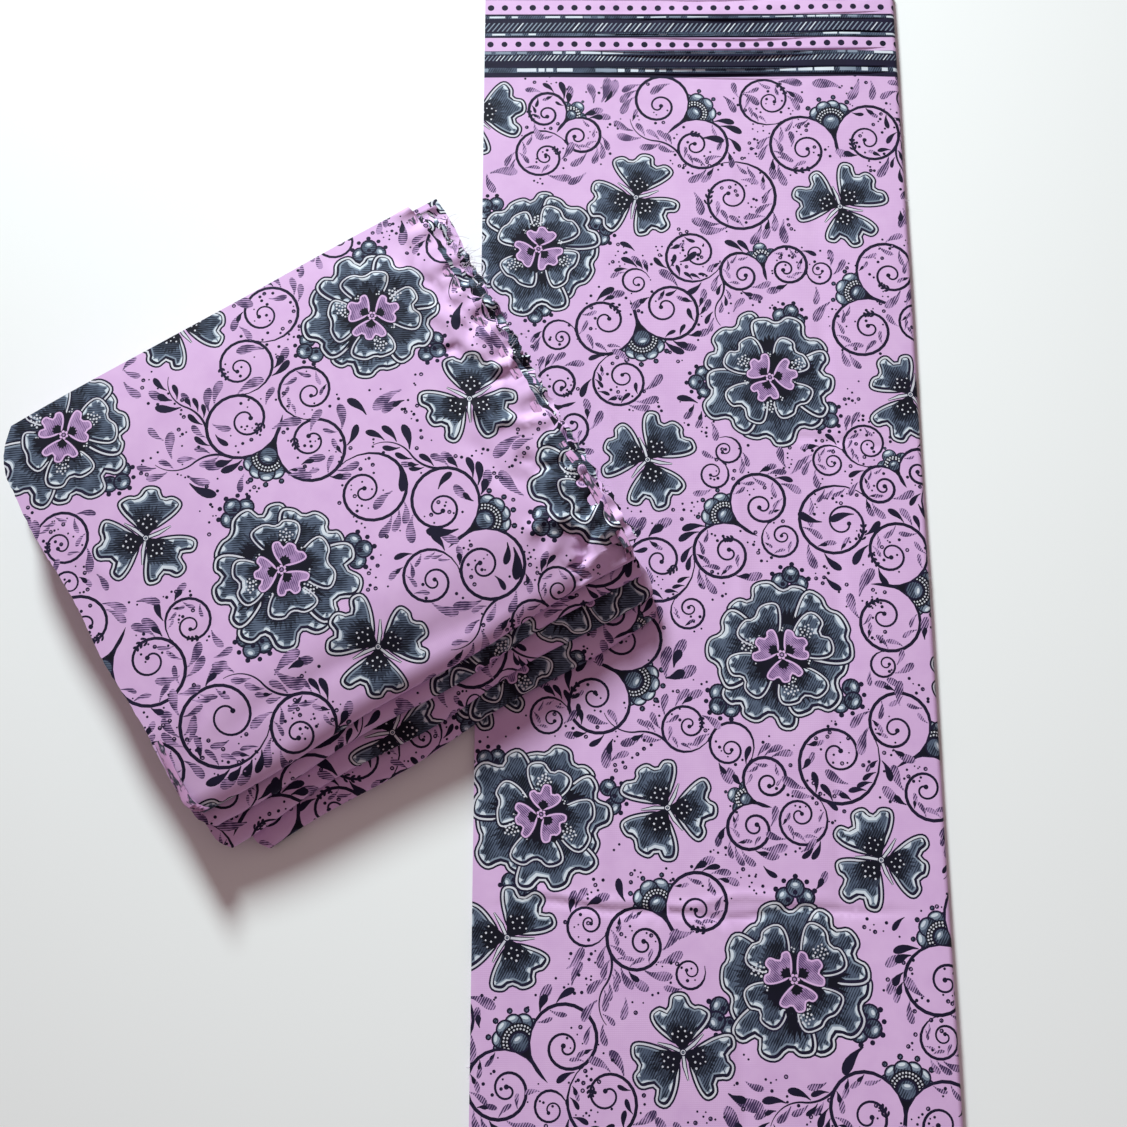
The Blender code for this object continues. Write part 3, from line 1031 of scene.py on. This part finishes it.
class LoosePly:
    """A raw ply at the bundle's right end. along runs outwards from its hidden start, over across it."""

    def __init__(self, row, top):
        self.row, self.top = row, top
        self.shift = 0.0016 * row.number
        self.low, self.high = top.fold.back + 0.003 + 0.002 * row.number, top.turn_at + 0.004

    def reach(self, over):
        """How far out its ruffled cut edge lies."""
        share = smoothly((over - self.low) / (self.high - self.low))
        reach = self.row.at_back + (self.row.at_front - self.row.at_back) * share
        return reach + 0.0030 * ruffle(1.3 * over + 11 * self.shift) + 0.0008 * np.sin(over * 560.0)

    def place(self, along, over):
        """World points of its flat cloth."""
        fold, row = self.top.fold, self.row
        past = np.asarray(along) - LOOSE_HIDDEN
        height = row.starts + (row.ends - row.starts) * smoothly((past + 0.004) / 0.016)
        height = height + 0.0040 * ruffle(over + self.shift) * smoothly((past + LOOSE_HIDDEN) / 0.022)
        along = fold.right + fold.right_skew * over + past
        return np.stack(self.top.lay(along, np.asarray(over), self.top.floor + height), axis=-1)


def facing(ply, along, over):
    """Unit normals of a ply, pointing out of its fold."""
    small = 0.0006
    one = ply.place(along, over + small) - ply.place(along, over - small)
    two = ply.place(along + small, over) - ply.place(along - small, over)
    normal = np.cross(one, two)
    return normal / np.maximum(np.linalg.norm(normal, axis=-1, keepdims=True), 1e-12)


# The cut edges wander by up to this much, in metres
FRAY = 0.0004


def sheet_outline(ply):
    """The cut outline of a ply in flat millimetres, over as the real part and along as the other."""
    dice = random.Random(ply.fold.name)
    low, high = ply.corners()

    def end(which, edge):
        top = float(ply.back(edge))
        overs = np.linspace(top, ply.round - top, int((ply.round - 2 * top) / 0.0035))
        places = ply.ends(ply.section(overs)[0])[which]
        return [complex(o, a + dice.uniform(-FRAY, FRAY)) / MM for o, a in zip(overs, places)]

    steps = np.linspace(low, high, 90)[1:-1]
    upper = [complex(ply.back(a), a) / MM for a in steps]
    lower = [complex(ply.round - ply.back(a), a) / MM for a in steps[::-1]]
    return (upper + end(1, high) + lower + end(0, low)[::-1])[::-1]


def print_on(art, window, shows):
    """The print's shapes in a stretch's flat millimetres, where it shows."""
    origin, turn = complex(window.x, window.y), aim(-window.turn)
    shapes = []
    for ink, points in art.shapes:
        middle = sum(points) / len(points)
        place = (middle - origin) * turn
        if shows(place.real, place.imag, max(abs(p - middle) for p in points)):
            shapes.append((ink, [(p - origin) * turn for p in points]))
    return shapes


def edge_lines(ply, count):
    """Lines along a rounded edge, so that it bends evenly."""
    low, high = ply.fold.left - 0.012, ply.fold.right + 0.012
    alongs = np.linspace(low, high, int((high - low) / 0.012))
    return [[complex(ply.round * k / count, a) / MM for a in alongs] for k in range(count + 1)]


def grid_points(ply, step, far_step=0.030):
    """Loose points that let flat cloth bend: this far apart on the top, and further underneath."""
    points, back = [], float(ply.back(0.0))
    stretches = (back - 0.01, -0.3 * step, step), (ply.round + 0.006, ply.round - back + 0.01, far_step)
    for start, stop, pitch in stretches:
        for k, over in enumerate(np.arange(start, stop, pitch)):
            first = ply.fold.left - 0.01 + pitch / 2 * (k % 2)
            points += [complex(over, a) / MM for a in np.arange(first, ply.fold.right + 0.01, pitch)]
    return points


def crease_points(ply, creases):
    """Rows of points beside each crease."""
    points = []
    for c in creases:
        start, run = complex(c.x0, c.y0), complex(c.x1 - c.x0, c.y1 - c.y0)
        for off in (-1.6, -0.8, 0.0, 0.8, 1.6):
            for s in np.arange(0.0, abs(run), 0.006):
                spot = start + unit(run) * (s + 1j * off * c.half) - ply.turn_at
                if spot.real < -0.002:
                    points.append(spot / MM)
    return points


def put(name, data, place=(0.0, 0.0, 0.0), turn=(0.0, 0.0, 0.0)):
    """A new object of the scene."""
    one = bpy.data.objects.new(name, data)
    one.location, one.rotation_euler = place, turn
    bpy.context.scene.collection.objects.link(one)
    return one


def meshed(name, spots, faces, materials, maps):
    """A smooth mesh with its materials, and its maps by name, one place a corner."""
    mesh = bpy.data.meshes.new(name)
    mesh.from_pydata(spots, [], faces)
    for material in materials:
        mesh.materials.append(material)
    for map_name, places in maps.items():
        layer = mesh.uv_layers.new(name=map_name)
        layer.data.foreach_set("uv", np.asarray(places, np.float32).reshape(-1))
    mesh.shade_smooth()
    return mesh


def printed_sheet(name, ply, outline, shapes, lines, grid):
    """One stretch of printed cloth, cut flat and then laid where its ply has it."""
    flat, triangles, inks = cut_cloth(outline, shapes, lines, grid)
    used, corners = np.unique(np.array(triangles), return_inverse=True)
    flat, corners = flat[used], corners.reshape(-1)
    over, along = flat[:, 0] * MM, flat[:, 1] * MM
    low, high = flat.min(axis=0), flat.max(axis=0)
    baked = 0.002 + 0.996 * (flat - low) / (high - low).max()
    maps = {"cloth": flat[corners] * MM, "OFBake": baked[corners]}
    faces = corners.reshape(-1, 3).tolist()
    mesh = meshed(name, ply.place(along, over).tolist(), faces, INK_MATERIALS, maps)
    mesh.polygons.foreach_set("material_index", inks)
    mesh.normals_split_custom_set_from_vertices(facing(ply, along, over).tolist())
    return put(name, mesh)


def loose_ply(row, top, art):
    """One printed raw ply of the bundle's right end."""
    ply = LoosePly(row, top)
    overs = np.arange(ply.low, ply.high, 0.0025)
    outer = [complex(o, LOOSE_HIDDEN + r) / MM for o, r in zip(overs, ply.reach(overs))]
    outline = [complex(o, 0.0) / MM for o in overs[::3]] + outer[::-1]

    def shows(over, along, radius):
        return ply.low / MM - radius < over < ply.high / MM + radius and -radius < along < 50 + radius

    rows, columns = np.arange(ply.low, ply.high, 0.0035), np.arange(0.002, 0.045, 0.004)
    grid = [complex(o, a) / MM for o in rows for a in columns]
    shapes = print_on(art, row.window, shows)
    return printed_sheet(f"bundle_raw_ply_{row.number + 1}", ply, outline, shapes, [], grid)


THREAD_RADIUS = 0.0002


def threads(name, tufts):
    """Loose threads as thin three-sided strands: each tuft has its places, its way out, count and length."""
    dice = random.Random(name)
    spots, faces, steps = [], [], 4
    corners = [Vector((math.cos(a), math.sin(a), math.cos(2 * a))) for a in (0.5, 2.6, 4.7)]
    for place_of, way, count, length in tufts:
        for _ in range(count):
            at = Vector(place_of(dice))
            heading = Vector((math.cos(way), math.sin(way), 0.15))
            heading += Vector((dice.uniform(-0.9, 0.9), dice.uniform(-0.9, 0.9), dice.uniform(-0.2, 0.5)))
            heading.normalize()
            bend = Vector((dice.uniform(-1, 1), dice.uniform(-1, 1), -0.55))
            size, first = length * dice.uniform(0.5, 1.3), len(spots)
            for share in (k / steps for k in range(steps + 1)):
                middle = at + heading * size * share + bend * size * 0.45 * share ** 2
                spots += [tuple(middle + c * THREAD_RADIUS * (1.0 - 0.6 * share)) for c in corners]
            for k in range(first, first + 3 * steps, 3):
                faces += [(k + j, k + (j + 1) % 3, k + (j + 1) % 3 + 3, k + j + 3) for j in range(3)]
    maps = {"OFBake": np.tile([[0.1, 0.1], [0.2, 0.1], [0.2, 0.2], [0.1, 0.2]], (len(faces), 1))}
    return put(name, meshed(name, spots, faces, [LOOSE_THREADS], maps))


def wander(places, dice, waves):
    """A smooth random line: waves is a list of wave lengths and heights."""
    total = np.zeros_like(places)
    for length, height in waves:
        for share in (1.0, 0.63):
            phase = dice.uniform(0, 2 * math.pi)
            total += height * share * np.sin(2 * math.pi * places / (length * share) + phase)
    return total


# The hidden plies' edges: their pitch, how deep they are drawn, the step along them, and the
# height that the outer ply takes
LIP_PITCH, LIP_DEPTH, LIP_STEP, OUTER_PLY = 0.0014, 0.008, 0.004, 0.0012
# A lip's section: how far out, as a share of its depth, and how high, as a share of its pitch
LIP_SECTION = ((0.0, 0.40), (0.93, 0.42), (1.0, 0.0), (0.93, -0.42), (0.0, -0.40))


def ply_edges(ply):
    """The edges of the hidden plies, as thin lips one above another round the cut sides."""
    fold = ply.fold
    name = f"{fold.name}_ply_edges"
    dice = random.Random(fold.name + "_edges")
    count = max(3, round((fold.thick - OUTER_PLY) / LIP_PITCH))
    pitch = (fold.thick - OUTER_PLY) / count
    low, high = ply.corners()
    backs = np.arange(low + 0.002, high - 0.002, LIP_STEP)
    spots, faces, corners = [], [], []
    for k in range(count):
        height = ply.floor + OUTER_PLY / 2 + pitch * (k + 0.5)
        rise = 2 * (height - ply.floor) / fold.thick - 1
        front = ply.turn_at + (fold.reach - 0.0016) * math.sqrt(max(0.0, 1 - rise ** 2))
        lefts = np.arange(front, ply.back(low) + ply.turn_at + 0.002, -LIP_STEP)
        rights = np.arange(ply.back(high) + ply.turn_at + 0.002, front, LIP_STEP)
        # each side's cut edge, along and across it, its way out, its share of the wander and its inset
        sides = (
            (ply.ends(lefts)[0] + 1j * lefts, -1, 1.0, 0.0010),
            (backs + 1j * (fold.back + fold.back_skew * backs), -1j, 0.35, 0.0008),
            (ply.ends(rights)[1] + 1j * rights, 1, 1.0, 0.0010),
        )
        cut = np.concatenate([side[0] for side in sides])
        way, share, inset_by = (np.repeat([side[j] for side in sides], [len(side[0]) for side in sides])
                                for j in (1, 2, 3))
        s = np.arange(len(cut)) * LIP_STEP
        lip = cut + way * (share * wander(s, dice, ((0.11, 0.0006), (0.035, 0.0004))) - inset_by)
        lift = wander(s, dice, ((0.09, 0.00018), (0.03, 0.00010)))
        inner = cut - way * LIP_DEPTH
        first, n = len(spots), len(cut)
        for out, up in LIP_SECTION:
            at = inner + (lip - inner) * out
            places = ply.lay(at.real, at.imag, np.full(n, height) + up * pitch + lift)
            spots += np.stack(places, axis=1).tolist()
        for r in range(len(LIP_SECTION) - 1):
            v0, v1 = 0.01 * k + 0.002 * r, 0.01 * k + 0.002 * (r + 1)
            for j in range(n - 1):
                a = first + r * n + j
                faces.append((a, a + n, a + n + 1, a + 1))
                corners += [(s[j], v0), (s[j], v1), (s[j + 1], v1), (s[j + 1], v0)]
    return put(name, meshed(name, spots, faces, [CUT_EDGES], {"cloth": corners}))


# Materials


def linear(hex_colour):
    """An sRGB hex colour as the linear values that a shader takes."""
    channels = [int(hex_colour[k:k + 2], 16) / 255 for k in (1, 3, 5)]
    return [c / 12.92 if c <= 0.04045 else ((c + 0.055) / 1.055) ** 2.4 for c in channels] + [1.0]


def add(tree, kind, settings, links):
    """A node with its settings and links. A setting is a property or an input, by name or number.

    A link comes from a node's first output, or from the output whose number stands beside it.
    """
    node = tree.nodes.new("ShaderNode" + kind)
    for name, value in settings.items():
        if isinstance(name, str) and hasattr(node, name):
            setattr(node, name, value)
        else:
            node.inputs[name].default_value = value
    for name, source in links.items():
        source, output = source if isinstance(source, tuple) else (source, 0)
        tree.links.new(source.outputs[output], node.inputs[name])
    return node


def surface(name, **values):
    """A new material, its node tree and its shader with these values."""
    material = bpy.data.materials.new(name)
    material.use_nodes = True
    shader = material.node_tree.nodes["Principled BSDF"]
    for socket, value in values.items():
        shader.inputs[socket.replace("_", " ")].default_value = value
    return material, material.node_tree, shader


# The real threads are about 0.3 mm apart: these are as fine as the render shows
THREAD_PITCH = 1.6 * MM
# Engraved lines over an ink: their colour, pitch in millimetres, share of the pitch and turn in
# degrees. The real ones are about 1 mm apart, too fine to show, so these are coarser
Hatch = namedtuple("Hatch", "colour pitch share turn")


def engraved(tree, cloth, body, hatch):
    """The body colour under engraved lines, which swell and thin out as worn resist prints."""
    turned = add(tree, "Mapping", {"Rotation": (0.0, 0.0, math.radians(hatch.turn))}, {"Vector": cloth})
    ripple = add(tree, "TexNoise", {"Scale": 260.0, "Detail": 1.0}, {"Vector": cloth})
    shake = add(tree, "VectorMath", {"operation": "SCALE", "Scale": 0.5 * MM}, {0: (ripple, 1)})
    moved = add(tree, "VectorMath", {"operation": "ADD"}, {0: turned, 1: shake})
    across = add(tree, "SeparateXYZ", {}, {0: moved})
    phase = add(tree, "Math", {"operation": "MULTIPLY", 1: 2 * math.pi / (hatch.pitch * MM)}, {0: across})
    wave = add(tree, "Math", {"operation": "SINE"}, {0: phase})
    patches = add(tree, "TexNoise", {"Scale": 95.0, "Detail": 2.0}, {"Vector": cloth})
    limits = {"From Min": 0.35, "From Max": 0.65, "To Min": -0.9, "To Max": 0.9}
    swell = add(tree, "MapRange", limits, {"Value": patches})
    worn = add(tree, "Math", {"operation": "ADD"}, {0: wave, 1: swell})
    edge = math.cos(math.pi * hatch.share)
    lines = add(tree, "MapRange", {"From Min": edge - 0.6, "From Max": edge + 0.6}, {"Value": worn})
    return add(tree, "Mix", {"data_type": "RGBA", 7: linear(hatch.colour)}, {0: lines, 6: (body, 2)})


def wax_print(name, colour, darker, hatch=None):
    """Plain-woven cotton, resist-dyed and calendered: matt, with a slight lustre and an uneven dye."""
    material, tree, shader = surface(
        name, Roughness=0.70, Specular_IOR_Level=0.12, Sheen_Weight=0.02, Sheen_Roughness=0.5)
    cloth = add(tree, "UVMap", {"uv_map": "cloth"}, {})
    uneven = add(tree, "TexNoise", {"Scale": 38.0, "Detail": 3.0, "Roughness": 0.6}, {"Vector": cloth})
    strength = add(tree, "MapRange", {"From Min": 0.35, "From Max": 0.70}, {"Value": uneven})
    body = add(tree, "Mix", {"data_type": "RGBA", 6: linear(colour), 7: linear(darker)}, {0: strength})
    if hatch:
        body = engraved(tree, cloth, body, hatch)
    tree.links.new(body.outputs[2], shader.inputs["Base Color"])
    scale = 2 * math.pi / THREAD_PITCH / 20
    warp, weft = (add(tree, "TexWave", {"Scale": scale, "wave_profile": "SIN", "bands_direction": way},
                      {"Vector": cloth}) for way in "XY")
    weave = add(tree, "Math", {"operation": "MAXIMUM"}, {0: (warp, 1), 1: (weft, 1)})
    bump = add(tree, "Bump", {"Strength": 0.12, "Distance": 0.0003}, {"Height": weave})
    tree.links.new(bump.outputs[0], shader.inputs["Normal"])
    return material


def cut_edge_cotton():
    """Raw cut edges of the printed cotton: the print's colours come and go along each ply."""
    material, tree, shader = surface("cut_edge_cotton", Roughness=0.85, Sheen_Weight=0.15)
    cloth = add(tree, "UVMap", {"uv_map": "cloth"}, {})
    stretched = add(tree, "Mapping", {"Scale": (1.0, 9.0, 1.0)}, {"Vector": cloth})
    patches = add(tree, "TexNoise", {"Scale": 62.0, "Detail": 2.5, "Roughness": 0.65}, {"Vector": stretched})
    ramp = add(tree, "ValToRGB", {}, {0: patches})
    stops = ((0.0, "#D6A5D2"), (0.50, "#CF9CCB"), (0.545, "#4A4258"), (0.60, "#221B33"), (0.64, "#5A6070"),
             (0.70, "#D6A5D2"))
    for k, (place, colour) in enumerate(stops):
        element = ramp.color_ramp.elements[k] if k < 2 else ramp.color_ramp.elements.new(place)
        element.position, element.color = place, linear(colour)
    tree.links.new(ramp.outputs[0], shader.inputs["Base Color"])
    return material


# In the order of the inks: the dyed ground, the solid dark ink of lines and leaves, slate petals and
# the paler bloom at their rims, bright worn spots, undyed resist lines, hatched leaves and flower
# hearts, black gaps between petals and their deep roots
INK_MATERIALS = [
    wax_print("cotton_pink_ground", "#DCB6E0", "#D5ADDA"),
    wax_print("cotton_navy_ink", "#17152A", "#211B36"),
    wax_print("cotton_slate_hatched", "#606B80", "#4B556A", Hatch("#222736", 2.0, 0.46, 28.0)),
    wax_print("cotton_grey_bloom", "#8C97A8", "#7B8698"),
    wax_print("cotton_resist_shine", "#DBE1EA", "#C8CEDA"),
    wax_print("cotton_resist_white", "#DAD9E2", "#C6C4D0"),
    wax_print("cotton_mauve_hatched", "#C29DCC", "#B592C0", Hatch("#3A2B50", 1.9, 0.55, 28.0)),
    wax_print("cotton_rose_hatched", "#B795C1", "#A883B4", Hatch("#5E4470", 1.5, 0.40, 135.0)),
    wax_print("cotton_ink_black", "#10101C", "#161424"),
    wax_print("cotton_slate_deep", "#353B4C", "#3F4658", Hatch("#12141F", 2.0, 0.52, 28.0)),
]
CUT_EDGES = cut_edge_cotton()
# Single cotton threads that the dye hardly reached: pale, matt and a little hairy
LOOSE_THREADS = surface(
    "undyed_cotton_thread", Base_Color=linear("#E6D3EA"), Roughness=0.9, Sheen_Weight=0.2)[0]


# The cloth's pieces


def build_cloth():
    art = draw_print()
    length = Ply(LAID_LENGTH, 0.0, lay_band)
    back, half = float(length.back(0.0)) / MM, art.height / 2

    def over_length(over, along, radius):
        return back - radius < over < length.round / MM + 12 + radius and abs(along) < half + radius

    shapes = print_on(art, Window(-back, half, 0.0), over_length)
    below = printed_sheet(
        "laid_length_cloth", length, sheet_outline(length), shapes, edge_lines(length, 7),
        grid_points(length, 0.010) + crease_points(length, LENGTH_CREASES))
    finish_sheet(below, length, [ply_edges(length), length_tufts()])
    level = 0.0
    for fold, window in zip(BUNDLE_FOLDS, BUNDLE_WINDOWS):
        ply = Ply(fold, level, lay_bundle)
        on_top = fold is TOP_FOLD
        lines, grid = edge_lines(ply, 16 if on_top else 10), grid_points(ply, 0.008 if on_top else 0.020)
        if on_top:
            grid += crease_points(ply, BUNDLE_CREASES)
        shapes = print_on(art, window, what_shows(ply, on_top))
        piece = printed_sheet(f"{fold.name}_cloth", ply, sheet_outline(ply), shapes, lines, grid)
        extras = [ply_edges(ply)]
        if on_top:
            extras += [loose_ply(row, ply, art) for row in LOOSE_PLIES] + [end_threads(ply)]
        finish_sheet(piece, ply, extras)
        below = piece
        level += fold.thick + FOLD_GAP


def what_shows(ply, on_top):
    """Where a bundle fold's print is drawn: all of the top fold, and the rims of the others."""
    back, front, left, right = (
        float(place) / MM for place in (ply.back(0.0), ply.round, ply.fold.left, ply.fold.right))

    def shows(over, along, radius):
        on_ply = back - radius < over < front + 10 + radius
        on_ply = on_ply and left - 8 - radius < along < right + 8 + radius
        at_side = over > -30 - radius or over < back + 22 + radius
        return on_ply and (on_top or at_side or along < left + 28 + radius or along > right - 28 - radius)

    return shows


def end_threads(top):
    """Threads that fray out of the bundle's raw right end, and most at its back corner."""

    def at_end(rows, draw_over):
        def place(dice):
            ply = LoosePly(dice.choice(rows), top)
            over = draw_over(dice, ply)
            return ply.place(LOOSE_HIDDEN + float(ply.reach(over)) - 0.0008, over)

        return place

    anywhere = at_end(LOOSE_PLIES, lambda dice, ply: dice.uniform(ply.low, ply.high))
    at_back_corner = at_end(LOOSE_PLIES[:3], lambda dice, ply: dice.gauss(-0.115, 0.016))
    tufts = ((anywhere, BUNDLE_TURN, 90, 0.007), (at_back_corner, BUNDLE_TURN, 60, 0.010))
    return threads("bundle_loose_threads", tufts)


def length_tufts():
    """Small tufts of thread along the laid-out length's two sides."""
    half = BAND_WIDTH / 2

    def tuft(x, y):
        return lambda dice: (x + dice.gauss(0, 0.0006), y + dice.gauss(0, 0.003), dice.uniform(0.001, 0.0045))

    right = [(tuft(half - 0.0015, y), 0.0, 9, 0.0035) for y in (0.46, 0.355, -0.012, -0.09, -0.40)]
    left = [(tuft(-half + 0.001, y), math.pi, 7, 0.003) for y in (-0.42, 0.30)]
    return threads("laid_length_tufts", right + left)


def finish_sheet(piece, ply, extras):
    """Attaches a stretch of cloth, with its cut edges and threads, to the root body, and hides the solids
    that they replace.
    """
    fold = ply.fold
    for one in (piece, *extras):
        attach(one, "root")
        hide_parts(f"{fold.name}_{'outer_ply' if one is piece else 'inner_plies'}")
    ply.width()


FLOOR_HALF, FLOOR_DROP = 4.0, 0.0002


def studio():
    """A plain pale floor, a large soft light from the upper left and a pale room."""
    half = FLOOR_HALF
    paper = surface("matt_white_paper", Base_Color=linear("#F4F4F4"), Roughness=0.9)[0]
    floor = bpy.data.meshes.new("floor")
    corners = [(-half, -half, 0), (half, -half, 0), (half, half, 0), (-half, half, 0)]
    floor.from_pydata(corners, [], [(0, 1, 2, 3)])
    floor.materials.append(paper)
    put("floor", floor, (0.0, 0.0, -FLOOR_DROP))
    scene = bpy.context.scene
    scene.world = bpy.data.worlds.new("room")
    scene.world.use_nodes = True
    room = scene.world.node_tree.nodes["Background"].inputs
    room["Color"].default_value = (0.95, 0.71, 0.72, 1.0)
    room["Strength"].default_value = 0.27
    lamp = bpy.data.lights.new("window_light", "AREA")
    lamp.shape, lamp.size, lamp.spread = "DISK", 0.9, math.radians(60.0)
    lamp.energy, lamp.color = 46.5, (0.85, 0.975, 0.97)
    place, aim_at = Vector((-1.6, 4.1, 2.05)), Vector((0.0, 0.05, 0.0))
    put("window_light", lamp, place, (aim_at - place).to_track_quat("-Z", "Y").to_euler())
    camera = bpy.data.cameras.new("camera")
    camera.lens, camera.sensor_width = 41.53, 36.0
    scene.camera = put("camera", camera, (-0.1235, -0.246, 1.131), (math.radians(12.5), 0.0, 0.0))
    scene.view_settings.view_transform = "Standard"


build_cloth()
studio()
